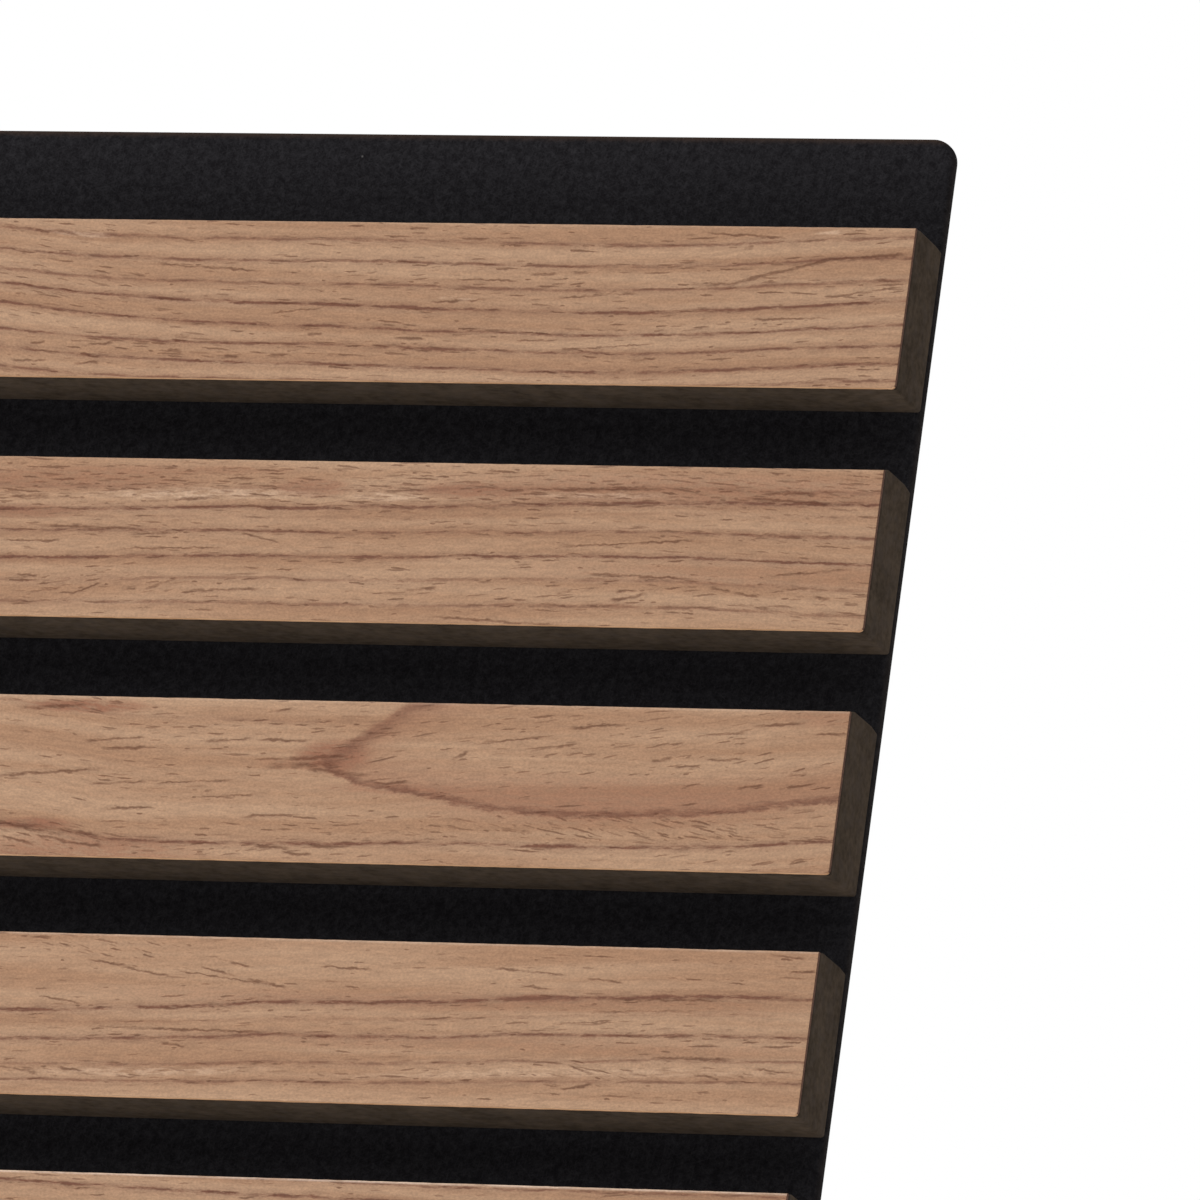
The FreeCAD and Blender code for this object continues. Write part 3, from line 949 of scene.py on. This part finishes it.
def fray_edges(mesh, number, centre, half_width):
    """Bites tiny nicks into the two long edges of a leaf."""
    for vert in mesh.verts:
        nick = noise.noise(Vector((vert.co.x * ragged_rate, number * ragged_shift, 0)))
        bite = abs(nick) * veneer_raggedness
        if abs(vert.co.z - centre) > half_width - edge_band:
            vert.co.z -= math.copysign(bite, vert.co.z - centre)


def assign_sides(mesh):
    """Gives a leaf's broad faces its first material, its long edges the second and its ends the third."""
    for face in mesh.faces:
        if abs(face.normal.y) > mostly_facing:
            face.material_index = 0
        elif abs(face.normal.x) > mostly_facing:
            face.material_index = 2
        else:
            face.material_index = 1


cut_edge = cut_edge_finish()
end_grain = end_grain_finish()
for number in range(1, slat_count + 1):
    low, high = slat_box(f"slat_veneer_{number:02d}", number)
    centre = (low.z + high.z) / 2
    figure = figures.get(number) or chance_figure(random.Random(first_seed + number))
    leaf = veneer_finish(number, centre, figure)
    leaf_mesh = block(low, high)
    lengths = edges_along(leaf_mesh, 0)
    bmesh.ops.subdivide_edges(leaf_mesh, edges=lengths, cuts=leaf_cuts, use_grid_fill=True)
    corners = [edge for edge in edges_along(leaf_mesh, 1) if edge.calc_face_angle() > sharp_bend]
    lower_corners = [edge for edge in corners if edge.verts[0].co.z < centre]
    round_off(leaf_mesh, lower_corners, leaf_corner, 5)
    fray_edges(leaf_mesh, number, centre, (high.z - low.z) / 2)
    round_off(leaf_mesh, rim_edges(leaf_mesh, low.y), veneer_rim, 2)
    lean_end(leaf_mesh, number)
    assign_sides(leaf_mesh)
    finishes = [leaf, cut_edge, end_grain]
    finish_piece(leaf_mesh, f"slat_face_{number:02d}", [f"slat_veneer_{number:02d}"], finishes)

# The studio: a pale floor well below the panel, which hangs free, and dim light from all round.
# Two large soft lamps stand to the left, one high and one low, so that little light enters the gaps.
floor_level = -1.6
floor_radius = 60
floor_mesh = bmesh.new()
bmesh.ops.create_circle(floor_mesh, cap_ends=True, radius=floor_radius, segments=96)
bmesh.ops.translate(floor_mesh, vec=(0, 0, floor_level), verts=floor_mesh.verts)
floor_data = bpy.data.meshes.new("floor")
floor_mesh.to_mesh(floor_data)
floor_mesh.free()
floor = bpy.data.objects.new("floor", floor_data)
bpy.context.scene.collection.objects.link(floor)


def floor_finish():
    """A matt pale floor, clear from below so that a low camera looks past it."""
    material, tree, shader, place = new_material("pale floor")
    floor_grey = (0.86, 0.86, 0.86, 1)
    floor_white = (0.9, 0.9, 0.895, 1)
    shade = noise_at(tree, place, 0.002, 2.0)
    colour = blend(tree, shade, floor_grey, floor_white)
    tree.links.new(colour, shader.inputs["Base Color"])
    shader.inputs["Roughness"].default_value = 0.9
    clear = add(tree, "ShaderNodeBsdfTransparent")
    below = add(tree, "ShaderNodeNewGeometry").outputs["Backfacing"]
    mixed = add(tree, "ShaderNodeMixShader", [(0, below), (1, shader.outputs[0]), (2, clear.outputs[0])])
    tree.links.new(mixed.outputs[0], tree.nodes["Material Output"].inputs["Surface"])
    return material


floor_data.materials.append(floor_finish())

# The camera sees a white background, and the panel is lit by a dimmer one.
white = (1.0, 1.0, 1.0, 1.0)
room_light = 0.49
world = bpy.data.worlds.new("white studio")
world.use_nodes = True
sky = world.node_tree
seen = sky.nodes["Background"]
seen.inputs["Color"].default_value = white
seen.inputs["Strength"].default_value = 1.0
dim = add(sky, "ShaderNodeBackground", [("Color", white), ("Strength", room_light)])
direct = add(sky, "ShaderNodeLightPath").outputs["Is Camera Ray"]
shown = add(sky, "ShaderNodeMixShader", [(0, direct), (1, dim.outputs[0]), (2, seen.outputs[0])])
sky.links.new(shown.outputs[0], sky.nodes["World Output"].inputs["Surface"])
bpy.context.scene.world = world

# Lamps and camera are turned to one point, on the slats' faces near the upper right corner.
aim = Vector((0.2544, -0.015, 0.2108))
lamp_distance = 2.4
lamp_size = 1.2


def direction(turn, tilt):
    """The way from the panel to a place so far round to the right and so far up, both in radians."""
    return Vector((math.sin(turn) * math.cos(tilt), -math.cos(turn) * math.cos(tilt), math.sin(tilt)))


def soft_lamp(name, turn, tilt, power):
    """A square soft lamp, so many degrees to the right of the viewed corner and above it."""
    light = bpy.data.lights.new(name, "AREA")
    light.shape = "SQUARE"
    light.size = lamp_size
    light.energy = power
    lamp = bpy.data.objects.new(name, light)
    toward = direction(math.radians(turn), math.radians(tilt))
    lamp.location = aim + toward * lamp_distance
    lamp.rotation_mode = "QUATERNION"
    lamp.rotation_quaternion = (-toward).to_track_quat("-Z", "Y")
    bpy.context.scene.collection.objects.link(lamp)


soft_lamp("upper lamp", -40, 28, 25.9)
soft_lamp("lower lamp", -40, -41, 27.5)

# The camera: a long lens about three metres away at the lower right, so that the slats' undersides
# and right ends show. It is rolled a little to one side.
camera_data = bpy.data.cameras.new("camera")
camera_data.sensor_width = 36
camera_data.lens = 600
camera_data.clip_start = 0.1
camera_data.clip_end = 200
camera = bpy.data.objects.new("camera", camera_data)
azimuth = math.radians(22.25)
elevation = math.radians(-16.7)
roll = math.radians(7.77)
distance = 3.1805
back = direction(azimuth, elevation)
camera.location = aim + back * distance
camera.rotation_mode = "QUATERNION"
camera.rotation_quaternion = (-back).to_track_quat("-Z", "Y") @ Quaternion((0, 0, 1), roll)
bpy.context.scene.collection.objects.link(camera)
bpy.context.scene.camera = camera
bpy.context.scene.view_settings.view_transform = "Standard"
bpy.context.scene.view_settings.look = "None"
